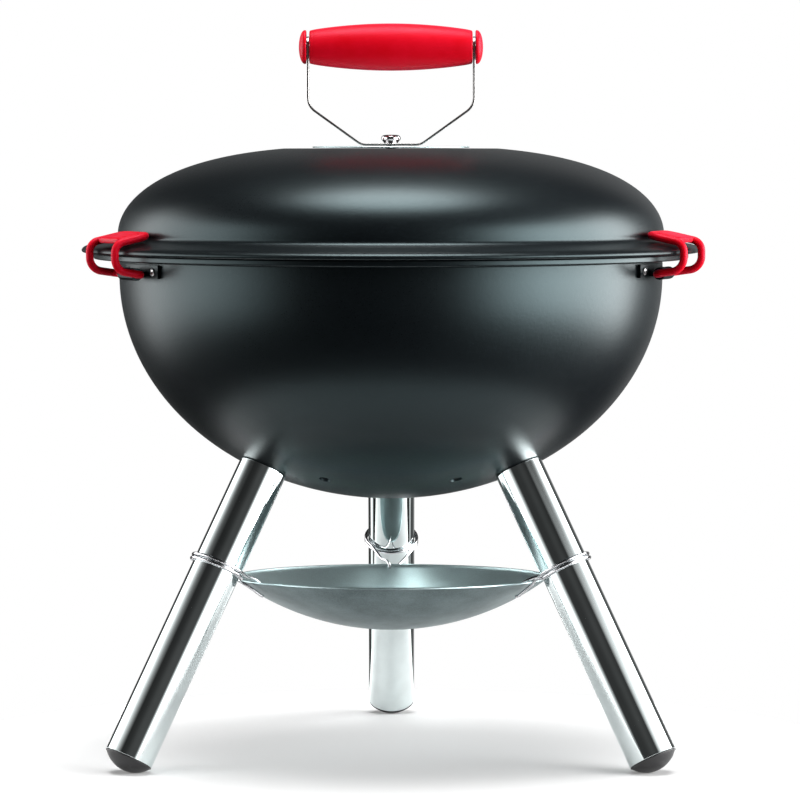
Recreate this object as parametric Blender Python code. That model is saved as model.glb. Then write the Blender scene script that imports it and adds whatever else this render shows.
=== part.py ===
"""A portable charcoal kettle grill on three splayed legs, standing closed.

Units are metres, +Z is up and the front faces -Y. The origin is on the floor under the kettle's
axis. Most pieces are turned about that axis, or repeated round it at an azimuth measured from +X.
"""

import math

import bmesh
import bpy
from mathutils import Matrix, Vector

MM = 0.001
GAP = 0.3 * MM                    # free space between two pieces that touch
SEGMENTS = 40                     # facets round the kettle

# Bowl: a short upright wall over half an ellipse, with a flat rim
BOWL_R = 180 * MM
BOWL_DEPTH = 148 * MM
BOWL_Z = 318 * MM                 # where the wall meets the ellipse
BOWL_SHEET = 1.5 * MM
RIM_R = 197 * MM
RIM_LOW = 329.4 * MM
RIM_TOP = 333.3 * MM
DRAUGHT_HOLE_CIRCLE = 85 * MM
DRAUGHT_HOLE_R = 4 * MM
DRAUGHT_HOLES = 6

# Lid: (r / LID_R) ** LID_POWER + ((z - LID_Z) / LID_RISE) ** 2 = 1, flattened on top
LID_R = 181 * MM
LID_RISE = 59 * MM
LID_Z = 345 * MM
LID_POWER = 2.9
LID_SHEET = 1.2 * MM
LID_LAND_Z = 402 * MM
FLANGE_R = 205 * MM
FLANGE_LOW = RIM_TOP + GAP

# Vent disc and the bolt that the handle turns on
DISC_R = 50 * MM
DISC_SHEET = 1.2 * MM
VENT_CIRCLE = 32.6 * MM
VENT_R = 6 * MM
VENTS = 4
BOLT_R = 3 * MM
BOLT_HOLE_R = 3.4 * MM

# Handle: a bent band carrying the grip on a rod along X
BAND_SHEET = 1.4 * MM
BAND_WIDTH = 14 * MM
BAND_FOOT = 19.6 * MM             # half length of the flat that is bolted down
BAND_HALF = 55 * MM               # half distance between the upright sides
BAND_BEND_Z = 430 * MM
GRIP_Z = 469 * MM
GRIP_MID_R = 15.6 * MM
GRIP_END_R = 11.2 * MM
ROD_R = 2.4 * MM
ROD_HOLE_R = 2.8 * MM
CAP_END = 61 * MM

# Legs: tubes square to the bowl's wall
LEG_AZIMUTHS = {"left": 210, "right": 330, "back": 90}
LEG_TOP_R = 96.6 * MM
LEG_TOP_Z = 193.3 * MM
LEG_SPLAY = math.radians(28.2)
LEG_R = 16 * MM
LEG_WALL = 1.2 * MM
LEG_LENGTH = 208.9 * MM
FOOT_DOME = 8.5 * MM

# Ash dish: part of a sphere
DISH_R = 104 * MM
DISH_SPHERE = 176 * MM
DISH_LOW = 82 * MM
DISH_SHEET = 1 * MM
WIRE_R = 1 * MM

# Rim clips: wire loops that hinge under the rim
CLIP_AZIMUTHS = {"left": 207.3, "right": 339.8}
CLIP_WIRE_R = 2.5 * MM
CLIP_HALF = 20.4 * MM
CLIP_PIVOT_R = 189 * MM
CLIP_PIVOT_Z = 321.4 * MM
CLIP_OUTER_R = 208.2 * MM
CLIP_INNER_R = 185 * MM
CLIP_LOW_Z = 324.2 * MM
CLIP_SHOULDER_Z = 341.3 * MM
CLIP_TOP_Z = 346.3 * MM
CLIP_HOLE_R = 2.9 * MM
BARREL_R = 4.1 * MM
BARREL_HALF = 11 * MM
PLATE_LOW_Z = 318.8 * MM
PLATE_TOP_Z = 327.3 * MM
PLATE_SHEET = 1.8 * MM
PLATE_ANGLE = 7.8                   # half the plate's spread about the bowl, degrees
PAD_THICKNESS = 4.8 * MM
PAD_RISE = 0.9 * MM               # middle of the pad above the wires' centre plane
RIVET_ANGLE = 5.9
RIVET_Z = 323 * MM
RIVET_HOLE_R = 1.8 * MM

# Grates
COOK_R = 170 * MM
COOK_Z = 311.3 * MM
COAL_R = 121 * MM
COAL_Z = 214 * MM
GRATE_RING_R = 2.5 * MM
GRATE_ROD_R = 2 * MM
BRACKET_AZIMUTHS = {"front": 270, "left": 150, "right": 30}


# ------------------------------------------------------------------ scene and materials

def clear_scene():
    """Remove every object that the file opened with."""
    for item in list(bpy.data.objects):
        bpy.data.objects.remove(item, do_unlink=True)


def finish(name, colour, roughness, metallic):
    """A Principled material, made once for each name."""
    found = bpy.data.materials.get(name)
    if found:
        return found
    made = bpy.data.materials.new(name)
    made.use_nodes = True
    shader = made.node_tree.nodes["Principled BSDF"]
    shader.inputs["Base Color"].default_value = (*colour, 1)
    shader.inputs["Roughness"].default_value = roughness
    shader.inputs["Metallic"].default_value = metallic
    made.diffuse_color = (*colour, 1)
    return made


def enamel():
    return finish("black_enamel", (0.02, 0.02, 0.022), 0.4, 0.0)


def chrome():
    return finish("polished_chrome", (0.8, 0.8, 0.82), 0.08, 1.0)


def steel():
    return finish("stainless_steel", (0.6, 0.6, 0.62), 0.25, 1.0)


def aluminium():
    return finish("matt_aluminium", (0.55, 0.58, 0.6), 0.5, 1.0)


def silicone():
    return finish("red_silicone", (0.7, 0.01, 0.03), 0.45, 0.0)


def plastic():
    return finish("black_plastic", (0.02, 0.02, 0.02), 0.5, 0.0)


# ------------------------------------------------------------------ placing and shaping

def at_azimuth(degrees, radius=0.0, height=0.0):
    """A frame whose X points outward at an azimuth and whose Z is up."""
    return Matrix.Rotation(math.radians(degrees), 4, "Z") @ Matrix.Translation((radius, 0, height))


def leg_frame(azimuth):
    """A frame at the top of a leg, with Z running up the leg's axis."""
    tilt = Matrix.Rotation(-LEG_SPLAY, 4, "Y")
    return at_azimuth(azimuth, LEG_TOP_R, LEG_TOP_Z) @ tilt


def place(name, mesh, material, matrix=None, sharp=40):
    """Add a mesh as a named object with smooth shading up to an angle."""
    mesh.materials.clear()
    mesh.materials.append(material)
    mesh.shade_smooth()
    mesh.set_sharp_from_angle(angle=math.radians(sharp))
    item = bpy.data.objects.new(name, mesh)
    item.matrix_world = matrix or Matrix()
    bpy.context.scene.collection.objects.link(item)
    return item


def as_mesh(name, shape):
    """Close a bmesh into a mesh with its faces pointing out."""
    bmesh.ops.remove_doubles(shape, verts=shape.verts, dist=0.001 * MM)
    bmesh.ops.recalc_face_normals(shape, faces=shape.faces)
    mesh = bpy.data.meshes.new(name)
    shape.to_mesh(mesh)
    shape.free()
    return mesh


def turned(name, profile, segments=SEGMENTS, closed=False):
    """Turn a profile of (radius, height) about Z; an open one begins and ends on the axis."""
    shape = bmesh.new()
    points = [shape.verts.new((r, 0, z)) for r, z in profile]
    edges = [shape.edges.new(pair) for pair in zip(points, points[1:])]
    if closed:
        edges.append(shape.edges.new((points[-1], points[0])))
    bmesh.ops.spin(shape, geom=points + edges, cent=(0, 0, 0), axis=(0, 0, 1),
                   angle=math.tau, steps=segments, use_merge=True)
    return as_mesh(name, shape)


def sector(name, profile, half_angle, steps):
    """Sweep a closed outline of (radius, height) through an arc centred on +X."""
    shape = bmesh.new()
    points = [shape.verts.new((r, 0, z)) for r, z in profile]
    start = shape.faces.new(points)
    bmesh.ops.rotate(shape, verts=points, matrix=Matrix.Rotation(-half_angle, 3, "Z"))
    bmesh.ops.spin(shape, geom=[start], cent=(0, 0, 0), axis=(0, 0, 1),
                   angle=2 * half_angle, steps=steps)
    return as_mesh(name, shape)


def prism(name, outline, width):
    """Extrude an outline of (x, z) along Y, centred on Y = 0."""
    shape = bmesh.new()
    face = shape.faces.new([shape.verts.new((x, -width / 2, z)) for x, z in outline])
    grown = bmesh.ops.extrude_face_region(shape, geom=[face])
    moved = [part for part in grown["geom"] if isinstance(part, bmesh.types.BMVert)]
    bmesh.ops.translate(shape, verts=moved, vec=(0, width, 0))
    return as_mesh(name, shape)


def tube(name, points, radius, sides, closed=False):
    """Sweep a circle along a path, carrying its frame from point to point without twist."""
    shape = bmesh.new()
    path = [Vector(p) for p in points]
    count = len(path)

    def heading(i):
        after = path[(i + 1) % count] if closed or i + 1 < count else path[i]
        before = path[i - 1] if closed or i > 0 else path[i]
        return (after - before).normalized()

    side = heading(0).orthogonal().normalized()
    first = side.copy()
    rings = []
    for i in range(count):
        ahead = heading(i)
        side = (side - ahead * side.dot(ahead)).normalized()
        rings.append((path[i], ahead, side.copy()))
    drift = 0.0
    if closed:
        ahead = heading(0)
        last = (side - ahead * side.dot(ahead)).normalized()
        drift = math.atan2(last.cross(first).dot(ahead), last.dot(first))
    loops = []
    for i, (centre, ahead, across) in enumerate(rings):
        turn = Matrix.Rotation(drift * i / count, 3, ahead)
        u = turn @ across
        v = ahead.cross(u)
        loop = []
        for k in range(sides):
            angle = math.tau * k / sides
            loop.append(shape.verts.new(centre + radius * (math.cos(angle) * u + math.sin(angle) * v)))
        loops.append(loop)
    pairs = list(zip(loops, loops[1:]))
    if closed:
        pairs.append((loops[-1], loops[0]))
    else:
        shape.faces.new(loops[0][::-1])
        shape.faces.new(loops[-1])
    for low, high in pairs:
        for k in range(sides):
            shape.faces.new((low[k], low[k - 1], high[k - 1], high[k]))
    return as_mesh(name, shape)


def rounded(points, radii, steps=5, closed=False):
    """Replace the corners of a polyline with arcs of the given radii."""
    corners = [Vector(p) for p in points]
    out = []
    for i, corner in enumerate(corners):
        if not closed and i in (0, len(corners) - 1):
            out.append(corner)
            continue
        back = (corners[i - 1] - corner).normalized()
        ahead = (corners[(i + 1) % len(corners)] - corner).normalized()
        half = back.angle(ahead) / 2
        reach = radii[i] / math.tan(half)
        centre = corner + (back + ahead).normalized() * radii[i] / math.sin(half)
        start = corner + back * reach - centre
        end = corner + ahead * reach - centre
        sweep = start.angle(end)
        for k in range(steps + 1):
            a = math.sin(sweep * (1 - k / steps)) / math.sin(sweep)
            b = math.sin(sweep * k / steps) / math.sin(sweep)
            out.append(centre + a * start + b * end)
    return out


def smooth_path(points, steps):
    """A Catmull-Rom curve through the points, the same number of steps in each span."""
    knots = [Vector(p) for p in points]
    knots = [2 * knots[0] - knots[1]] + knots + [2 * knots[-1] - knots[-2]]
    out = []
    for a, b, c, d in zip(knots, knots[1:], knots[2:], knots[3:]):
        for k in range(steps):
            s = k / steps
            out.append(0.5 * (2 * b + (c - a) * s + (2 * a - 5 * b + 4 * c - d) * s ** 2
                              + (3 * b - a - 3 * c + d) * s ** 3))
    out.append(knots[-2])
    return out


def rod_mesh(name, radius, start, end, sides=24):
    """A round bar from one point to another."""
    return tube(name, [start, end], radius, sides)


def combine(item, other, operation):
    """Cut or join a piece with a hidden helper, exactly."""
    other.hide_render = True
    other.display_type = "WIRE"
    step = item.modifiers.new(operation.lower(), "BOOLEAN")
    step.operation = operation
    step.solver = "EXACT"
    step.object = other


def drill(item, radius, matrix, start, end, sides=20):
    """Drill a hole along the Z axis of a frame, between two heights in it."""
    name = f"{item.name}_hole_{len(item.modifiers)}"
    mesh = rod_mesh(name, radius, (0, 0, start), (0, 0, end), sides)
    combine(item, place(name, mesh, steel(), matrix), "DIFFERENCE")


# ------------------------------------------------------------------ kettle

def bowl_arc(offset, steps):
    """The bowl's ellipse from its lowest point to the upright wall, grown by an offset."""
    quarter = [math.pi / 2 * k / steps for k in range(steps + 1)]
    return [((BOWL_R + offset) * math.sin(a), BOWL_Z - (BOWL_DEPTH + offset) * math.cos(a))
            for a in quarter]


def bowl_shell():
    """The pressed bowl with its rim, draught holes, leg holes and rivet holes."""
    rim = [(BOWL_R, RIM_LOW - 1.5 * MM), (BOWL_R + 1.5 * MM, RIM_LOW),
           (RIM_R - 1.5 * MM, RIM_LOW), (RIM_R, RIM_LOW + 1.2 * MM),
           (RIM_R, RIM_TOP - 1.2 * MM), (RIM_R - 1.5 * MM, RIM_TOP),
           (BOWL_R + 1 * MM, RIM_TOP), (BOWL_R - BOWL_SHEET, RIM_TOP - 2 * MM)]
    profile = bowl_arc(0, 10) + rim + bowl_arc(-BOWL_SHEET, 10)[::-1]
    bowl = place("bowl_shell", turned("bowl_shell", profile), enamel())
    for k in range(DRAUGHT_HOLES):
        frame = at_azimuth(360 * k / DRAUGHT_HOLES, DRAUGHT_HOLE_CIRCLE)
        drill(bowl, DRAUGHT_HOLE_R, frame, 170 * MM, 205 * MM, 12)
    for azimuth in LEG_AZIMUTHS.values():
        drill(bowl, BOLT_HOLE_R, leg_frame(azimuth), -6 * MM, 8 * MM, 12)
    for azimuth in CLIP_AZIMUTHS.values():
        for rivet in rivet_frames(azimuth):
            drill(bowl, RIVET_HOLE_R, rivet, -8 * MM, 8 * MM, 8)


def lid_arc(inset, steps):
    """The lid's dome from the edge of its flat top out to its foot, inset by the sheet."""
    first = math.acos((LID_LAND_Z - LID_Z) / LID_RISE)
    out = []
    for k in range(steps + 1):
        a = first + (math.pi / 2 - first) * k / steps
        r = (LID_R - inset) * math.sin(a) ** (2 / LID_POWER)
        out.append((r, LID_Z + (LID_RISE - inset) * math.cos(a)))
    return out


def lid_shell():
    """The domed lid, its sloping flange with a folded hem, and its four vents."""
    flange = [(LID_R + 0.5 * MM, 342.9 * MM), (LID_R + 2.5 * MM, 341.9 * MM),
              (FLANGE_R - 4 * MM, 338.2 * MM), (FLANGE_R - 1 * MM, 336.9 * MM),
              (FLANGE_R, 335.5 * MM), (FLANGE_R - 0.8 * MM, 334.2 * MM),
              (FLANGE_R - 3 * MM, FLANGE_LOW), (186 * MM, FLANGE_LOW),
              (186 * MM, FLANGE_LOW + LID_SHEET), (199.5 * MM, FLANGE_LOW + LID_SHEET),
              (199.8 * MM, 337.1 * MM), (LID_R - 0.4 * MM, 340.8 * MM)]
    top = [(0, LID_LAND_Z)] + lid_arc(0, 9)
    under = lid_arc(LID_SHEET, 9)[::-1] + [(0, LID_LAND_Z - LID_SHEET)]
    lid = place("lid_shell", turned("lid_shell", top + flange + under), enamel())
    drill(lid, BOLT_HOLE_R, Matrix(), 390 * MM, 410 * MM, 16)
    drill_vents(lid, LID_LAND_Z)


def drill_vents(item, height):
    """Four round openings that the lid and the disc share when the vent is open."""
    for k in range(VENTS):
        frame = at_azimuth(360 * k / VENTS, VENT_CIRCLE, height)
        drill(item, VENT_R, frame, -10 * MM, 10 * MM, 12)


# ------------------------------------------------------------------ vent, handle and grip

def turning_frame():
    """The empty on the axis that the disc, band and grip turn about."""
    axis = bpy.data.objects.new("vent_axis", None)
    axis.location = (0, 0, LID_LAND_Z)
    bpy.context.scene.collection.objects.link(axis)
    bpy.context.view_layer.update()
    return axis


def hang_on(parent, *items):
    """Parent pieces to an empty and leave them where they are."""
    for item in items:
        item.parent = parent
        item.matrix_parent_inverse = parent.matrix_world.inverted()


def vent_disc():
    """The flat damper disc that opens and closes the vents."""
    low = LID_LAND_Z + GAP
    high = low + DISC_SHEET
    profile = [(0, low), (DISC_R - 0.3 * MM, low), (DISC_R, low + 0.4 * MM),
               (DISC_R - 0.4 * MM, high), (0, high)]
    disc = place("vent_disc", turned("vent_disc", profile, 36), aluminium())
    drill(disc, BOLT_HOLE_R, Matrix(), low - 5 * MM, high + 5 * MM, 16)
    drill_vents(disc, low)
    return disc


def band_foot_z():
    """Height of the middle of the band's sheet where it lies on the disc."""
    return LID_LAND_Z + GAP + DISC_SHEET + GAP + BAND_SHEET / 2


def handle_band():
    """The flat band, swept as a strip whose ends are rounded about the grip's rod."""
    foot = band_foot_z()
    corners = [(0, foot), (BAND_FOOT, foot), (BAND_HALF, BAND_BEND_Z), (BAND_HALF, GRIP_Z)]
    half = rounded([Vector((x, 0, z)) for x, z in corners], [0, 5 * MM, 8 * MM, 0], 4)
    end_r = BAND_WIDTH / 2
    for k in range(1, 6):
        half.append(Vector((BAND_HALF, 0, GRIP_Z + end_r * math.sin(math.radians(15 * k)))))
    path = [Vector((-p.x, 0, p.z)) for p in half[:0:-1]] + half
    shape = bmesh.new()
    rings = []
    for i, p in enumerate(path):
        ahead = (path[min(i + 1, len(path) - 1)] - path[max(i - 1, 0)]).normalized()
        normal = Vector((-ahead.z, 0, ahead.x)) * BAND_SHEET / 2
        rise = max(0.0, p.z - GRIP_Z)
        wide = math.sqrt(end_r ** 2 - rise ** 2)
        rings.append([shape.verts.new(p + normal * s + Vector((0, wide * w, 0)))
                      for s, w in ((1, -1), (1, 1), (-1, 1), (-1, -1))])
    for low, high in zip(rings, rings[1:]):
        for k in range(4):
            shape.faces.new((low[k], low[k - 1], high[k - 1], high[k]))
    shape.faces.new(rings[0])
    shape.faces.new(rings[-1])
    band = place("handle_band", as_mesh("handle_band", shape), steel())
    drill(band, BOLT_HOLE_R, Matrix(), foot - 5 * MM, foot + 5 * MM, 16)
    along_x = Matrix.Translation((0, 0, GRIP_Z)) @ Matrix.Rotation(math.pi / 2, 4, "Y")
    drill(band, ROD_HOLE_R, along_x, -65 * MM, 65 * MM, 16)
    return band


def grip_frame(direction=1):
    """A frame on the grip's axis whose Z points along +X or -X."""
    return Matrix.Translation((0, 0, GRIP_Z)) @ Matrix.Rotation(direction * math.pi / 2, 4, "Y")


def grip_barrel():
    """The barrel-shaped silicone grip with its bore."""
    half = BAND_HALF - BAND_SHEET / 2 - GAP
    outer = []
    for k in range(-5, 6):
        s = k / 5
        swell = math.cos(math.pi / 2 * s) ** 0.8
        outer.append((GRIP_END_R + (GRIP_MID_R - GRIP_END_R) * swell, half * s))
    outer = [(GRIP_END_R - 1.2 * MM, -half)] + [(r, x * 0.985) for r, x in outer]
    outer.append((GRIP_END_R - 1.2 * MM, half))
    bore = [(ROD_HOLE_R, half), (ROD_HOLE_R, -half)]
    mesh = turned("grip_barrel", outer + bore, 20, closed=True)
    return place("grip_barrel", mesh, silicone(), grip_frame())


def grip_cap(side, direction):
    """A lens-shaped end cap with a blind bore for the rod's end."""
    low = BAND_HALF + BAND_SHEET / 2 + GAP
    blind = 59.4 * MM
    profile = [(0, blind), (ROD_HOLE_R, blind), (ROD_HOLE_R, low), (GRIP_END_R - 1 * MM, low),
               (GRIP_END_R, low + 0.8 * MM)]
    for k in range(1, 5):
        a = math.pi / 2 * k / 4
        profile.append((GRIP_END_R * math.cos(a),
                        low + 0.8 * MM + (CAP_END - low - 0.8 * MM) * math.sin(a)))
    mesh = turned(f"grip_cap_{side}", profile, 20)
    return place(f"grip_cap_{side}", mesh, silicone(), grip_frame(direction))


def grip_rod():
    """The rod that the grip is carried on, its ends held in the caps."""
    reach = 59 * MM
    mesh = rod_mesh("grip_rod", ROD_R, (-reach, 0, 0), (reach, 0, 0), 16)
    return place("grip_rod", mesh, steel(), Matrix.Translation((0, 0, GRIP_Z)))


def lid_bolt():
    """The dome-headed bolt that the handle turns on, its washer and its nut."""
    seat = band_foot_z() + BAND_SHEET / 2 + GAP
    profile = [(0, 390 * MM), (BOLT_R - 0.4 * MM, 390 * MM), (BOLT_R, 390.4 * MM),
               (BOLT_R, seat), (4.6 * MM, seat), (6.2 * MM, seat + 2.2 * MM),
               (6.2 * MM, seat + 3.6 * MM)]
    for k in range(1, 5):
        a = math.pi / 2 * k / 4
        profile.append((6.2 * MM * math.cos(a), seat + 3.6 * MM + 2 * MM * math.sin(a)))
    place("lid_bolt", turned("lid_bolt", profile, 16), chrome())
    under = LID_LAND_Z - LID_SHEET - GAP
    washer = ring_profile(BOLT_HOLE_R, 9 * MM, under - 1.2 * MM, under)
    place("lid_washer", turned("lid_washer", washer, 16, closed=True), steel())
    low = under - 1.2 * MM - GAP
    nut = ring_profile(BOLT_HOLE_R + GAP, 5.8 * MM, low - 5 * MM, low)
    place("lid_nut", turned("lid_nut", nut, 6, closed=True), steel(), sharp=20)


def ring_profile(inner, outer, low, high):
    """A rectangular section from an inner to an outer radius."""
    return [(inner, low), (outer, low), (outer, high), (inner, high)]


# ------------------------------------------------------------------ legs

def bowl_clearance():
    """A solid the shape of the bowl's outside, grown by the gap, that trims the leg tubes."""
    profile = bowl_arc(GAP, 10) + [(BOWL_R + GAP, RIM_LOW), (0, RIM_LOW)]
    return place("bowl_clearance", turned("bowl_clearance", profile), steel())


def floor_block():
    """A block under the floor that cuts a small flat on each foot."""
    size = 300 * MM
    outline = [(-size, -50 * MM), (size, -50 * MM), (size, 0), (-size, 0)]
    return place("floor_block", prism("floor_block", outline, 2 * size), steel())


def leg(side, azimuth, clearance, floor):
    """One leg: tube, foot cap, plug, bolt and washer, all on the leg's axis."""
    frame = leg_frame(azimuth)
    wall = ring_profile(LEG_R - LEG_WALL, LEG_R, -LEG_LENGTH, 16 * MM)
    name = f"leg_tube_{side}"
    leg_tube = place(name, turned(name, wall, 28, closed=True), chrome(), frame)
    combine(leg_tube, clearance, "DIFFERENCE")

    inside = LEG_R - LEG_WALL - 1.3 * GAP
    sphere = (LEG_R ** 2 + FOOT_DOME ** 2) / (2 * FOOT_DOME)
    centre = -LEG_LENGTH - FOOT_DOME + sphere
    widest = math.asin(LEG_R / sphere)
    dome = [(sphere * math.sin(widest * k / 5), centre - sphere * math.cos(widest * k / 5))
            for k in range(6)]
    profile = dome[:-1] + [(LEG_R, -LEG_LENGTH - 2 * GAP), (LEG_R - 0.2 * MM, -LEG_LENGTH - GAP),
                           (inside, -LEG_LENGTH - GAP), (inside, -LEG_LENGTH + 14 * MM),
                           (0, -LEG_LENGTH + 14 * MM)]
    name = f"foot_cap_{side}"
    foot = place(name, turned(name, profile, 20), plastic(), frame)
    combine(foot, floor, "DIFFERENCE")

    name = f"leg_plug_{side}"
    plug = ring_profile(BOLT_HOLE_R, inside, -22 * MM, -3 * MM)
    place(name, turned(name, plug, 12, closed=True), steel(), frame)

    seat = BOWL_SHEET + 3 * GAP
    name = f"leg_washer_{side}"
    washer = ring_profile(BOLT_HOLE_R, 8 * MM, seat, seat + 1.2 * MM)
    place(name, turned(name, washer, 12, closed=True), steel(), frame)

    head = seat + 1.2 * MM + GAP
    name = f"leg_bolt_{side}"
    bolt = [(0, -20 * MM), (BOLT_R, -20 * MM), (BOLT_R, head), (5.5 * MM, head),
            (5.5 * MM, head + 3.4 * MM), (4.5 * MM, head + 4.2 * MM), (0, head + 4.2 * MM)]
    place(name, turned(name, bolt, 12), steel(), frame)


# ------------------------------------------------------------------ ash dish and its wires

def ash_dish():
    """The shallow dish that catches ash, with a small rolled edge."""
    centre = DISH_LOW + DISH_SPHERE
    widest = math.asin(DISH_R / DISH_SPHERE)

    def arc(radius, steps):
        return [(radius * math.sin(widest * k / steps), centre - radius * math.cos(widest * k / steps))
                for k in range(steps + 1)]

    outer = arc(DISH_SPHERE, 6)
    inner = arc(DISH_SPHERE - DISH_SHEET, 5)[::-1]
    edge = outer[-1][1]
    bead = [(DISH_R + 0.8 * MM, edge + 0.5 * MM), (DISH_R + 0.7 * MM, edge + 1.4 * MM),
            (DISH_R - 0.2 * MM, edge + 1.7 * MM)]
    place("ash_dish", turned("ash_dish", outer + bead + inner, SEGMENTS), aluminium())


def dish_clip(side, azimuth):
    """Spring wire wound twice round a leg, one end hooked over the dish, one under it."""
    turn_r = LEG_R + WIRE_R + 2.5 * GAP
    pitch = 2.7 * MM
    middle = -71.8 * MM
    tilt = Matrix.Translation((LEG_TOP_R, 0, LEG_TOP_Z)) @ Matrix.Rotation(-LEG_SPLAY, 4, "Y")
    coil = []
    steps = 32
    for k in range(steps + 1):
        turns = 2 * k / steps
        angle = math.pi + math.tau * turns
        local = Vector((turn_r * math.cos(angle), turn_r * math.sin(angle),
                        middle + pitch * (turns - 1)))
        coil.append(tilt @ local)
    under = [(96.5, 9.5, 107.2), (101, 9.5, 110.4), (105.5, 9, 112.6), (111, 7.5, 115.6),
             (115.2, 4.2, 118.2)]
    over = [(113, -4.6, 123.4), (109, -7.6, 121.6), (104.6, -8.6, 120.2), (100.8, -8.8, 118),
            (98, -8.8, 115.6)]
    start = smooth_path([Vector(p) * MM for p in under] + [coil[0]], 2)[:-1]
    end = smooth_path([coil[-1]] + [Vector(p) * MM for p in over], 2)[1:]
    name = f"dish_clip_{side}"
    place(name, tube(name, start + coil + end, WIRE_R, 6), steel(), at_azimuth(azimuth))


# ------------------------------------------------------------------ rim clips

def clip_frame(azimuth):
    """A frame on a clip's hinge axis: X outward, Y along the axis."""
    return at_azimuth(azimuth, CLIP_PIVOT_R, CLIP_PIVOT_Z)


def rivet_frames(azimuth):
    """Frames at the bowl's wall for the two rivets of a bracket, Z pointing outward."""
    outward = Matrix.Rotation(math.pi / 2, 4, "Y")
    return [at_azimuth(azimuth + spread, BOWL_R, RIVET_Z) @ outward
            for spread in (-RIVET_ANGLE, RIVET_ANGLE)]


def clip_bracket(side, azimuth):
    """A curved plate riveted under the bowl's rim, with a lug and barrel for the clip."""
    inner = BOWL_R + 1.5 * GAP
    plate = [(inner, PLATE_LOW_Z), (inner + PLATE_SHEET, PLATE_LOW_Z),
             (inner + PLATE_SHEET, PLATE_TOP_Z), (inner, PLATE_TOP_Z)]
    name = f"clip_bracket_{side}"
    frame = at_azimuth(azimuth)
    mesh = sector(name, plate, math.radians(PLATE_ANGLE), 6)
    bracket = place(name, mesh, enamel(), frame)
    start = inner + PLATE_SHEET / 2
    low, high = CLIP_PIVOT_Z - 1.6 * MM, CLIP_PIVOT_Z + 1.6 * MM
    lug = [(start, low), (CLIP_PIVOT_R, low), (CLIP_PIVOT_R, high), (start, high)]
    lug_mesh = prism("lug", lug, 2 * BARREL_HALF - 3 * MM)
    combine(bracket, place(f"{name}_lug", lug_mesh, enamel(), frame), "UNION")
    barrel = rod_mesh("barrel", BARREL_R, (0, -BARREL_HALF, 0), (0, BARREL_HALF, 0), 14)
    hinge = clip_frame(azimuth)
    combine(bracket, place(f"{name}_barrel", barrel, enamel(), hinge), "UNION")
    along = hinge @ Matrix.Rotation(math.pi / 2, 4, "X")
    drill(bracket, CLIP_HOLE_R, along, -20 * MM, 20 * MM, 14)
    for rivet in rivet_frames(azimuth):
        drill(bracket, RIVET_HOLE_R, rivet, -8 * MM, 8 * MM, 8)


def clip_rivets(side, azimuth):
    """Two rivets that hold a bracket to the bowl, headed inside and out."""
    plate = 1.5 * GAP + PLATE_SHEET + GAP
    inside = -BOWL_SHEET - 3 * GAP
    profile = [(0, inside - 1.2 * MM), (2.4 * MM, inside - 1.2 * MM), (2.8 * MM, inside),
               (1.4 * MM, inside), (1.4 * MM, plate), (2.6 * MM, plate), (2.2 * MM, plate + 0.7 * MM),
               (1.1 * MM, plate + 1.1 * MM), (0, plate + 1.2 * MM)]
    for end, frame in zip("ab", rivet_frames(azimuth)):
        name = f"clip_rivet_{side}_{end}"
        place(name, turned(name, profile, 10), steel(), frame)


def clip_outline():
    """Corners of a clip in its own frame: round the hinge, out, up and in over the flange."""
    out, inner = CLIP_OUTER_R - CLIP_PIVOT_R, CLIP_INNER_R - CLIP_PIVOT_R
    heights = [CLIP_LOW_Z, CLIP_SHOULDER_Z, CLIP_TOP_Z]
    low, shoulder, top = (z - CLIP_PIVOT_Z for z in heights)
    side = [(0, 0), (out, low), (out, shoulder), (inner, top)]
    radii = [4.5, 9, 7, 6]
    there = [(x, CLIP_HALF, z) for x, z in side]
    back = [(x, -CLIP_HALF, z) for x, z in reversed(side)]
    return there + back, [r * MM for r in radii + radii[::-1]]


def clip_loop(side, azimuth):
    """The coated wire loop: one closed line that hinges in the bracket's barrel."""
    corners, radii = clip_outline()
    name = f"clip_loop_{side}"
    path = rounded(corners, radii, 3, closed=True)
    mesh = tube(name, path, CLIP_WIRE_R, 8, closed=True)
    place(name, mesh, silicone(), clip_frame(azimuth))


def clip_pad(side, azimuth):
    """The thumb pad between the loop's upper arms, lying along their slope."""
    corners, _ = clip_outline()
    inner, outer = Vector(corners[3]), Vector(corners[2])
    slope = math.atan2(inner.z - outer.z, outer.x - inner.x)
    length = 20 * MM
    edge = CLIP_HALF - CLIP_WIRE_R - GAP
    near = CLIP_WIRE_R + GAP
    plan = [(near, -edge, 0), (length, -edge, 0), (length, edge, 0), (near, edge, 0)]
    plan = rounded(plan, [2.8 * MM, 6 * MM, 6 * MM, 2.8 * MM], 3, closed=True)
    name = f"clip_pad_{side}"
    mesh = prism(name, [(p.x, p.y) for p in plan], PAD_THICKNESS)
    flat = Matrix.Translation((0, 0, PAD_RISE)) @ Matrix.Rotation(math.pi / 2, 4, "X")
    lie = Matrix.Translation((inner.x, 0, inner.z)) @ Matrix.Rotation(slope, 4, "Y")
    mesh.transform(lie @ flat)
    place(name, mesh, silicone(), clip_frame(azimuth))


# ------------------------------------------------------------------ grates

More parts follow.
